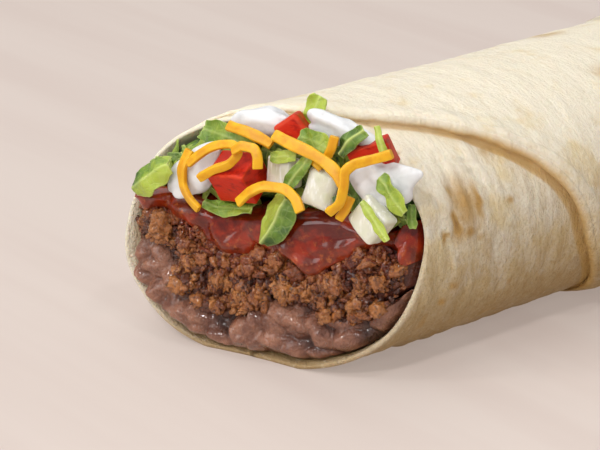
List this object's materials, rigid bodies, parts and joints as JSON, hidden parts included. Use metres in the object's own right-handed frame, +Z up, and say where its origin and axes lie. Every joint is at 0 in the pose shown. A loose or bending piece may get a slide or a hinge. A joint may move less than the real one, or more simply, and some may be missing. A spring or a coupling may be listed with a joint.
{
  "type": "burrito",
  "caption": "Soft tortilla rolled round layers of mashed beans, minced beef and red sauce, its open end heaped with cream, cheese, tomato, onion and lettuce.",
  "frame": {"origin": "under the middle of the burrito, on the surface it lies on", "axes": "+Y along the burrito from the open mouth to the closed end, +X to the right of the mouth, +Z up"},
  "size_m": [0.0714, 0.1558, 0.0585],
  "materials": {
    "tortilla": "soft wheat tortilla: matte and floury, cream-coloured, with toasted brown spots and fine creases",
    "beans": "mashed beans: moist, dull pink-brown, smooth lumps with small highlights",
    "beef": "seasoned minced beef: warm brown crumbs, slightly greasy",
    "sauce": "red chilli sauce: wet and glossy, deep red-brown",
    "cream": "soured cream: smooth, white, soft sheen",
    "cheese": "shredded hard cheese: orange-yellow, waxy",
    "tomato": "diced tomato: wet, saturated red",
    "onion": "diced white onion: translucent, greenish white, moist",
    "lettuce": "torn lettuce: fresh green, pale ribs, slight sheen"
  },
  "bodies": {
    "root": {"tortilla": "tortilla", "beans": "beans", "beef": "beef", "sauce": "sauce", "greens": "lettuce", "cream_1": "cream", "cream_2": "cream", "cream_3": "cream", "cream_4": "cream", "tomato_1": "tomato", "tomato_2": "tomato", "tomato_3": "tomato", "onion_1": "onion", "onion_2": "onion", "onion_3": "onion", "cheese_1": "cheese", "cheese_2": "cheese", "cheese_3": "cheese", "cheese_4": "cheese", "cheese_5": "cheese", "cheese_6": "cheese", "cheese_7": "cheese", "cheese_8": "cheese", "cheese_9": "cheese", "lettuce_1": "lettuce", "lettuce_2": "lettuce", "lettuce_3": "lettuce", "lettuce_4": "lettuce", "lettuce_5": "lettuce", "lettuce_6": "lettuce", "lettuce_7": "lettuce", "lettuce_8": "lettuce", "lettuce_9": "lettuce", "lettuce_10": "lettuce", "lettuce_11": "lettuce", "lettuce_12": "lettuce", "lettuce_13": "lettuce", "lettuce_14": "lettuce"}
  },
  "joints": []
}
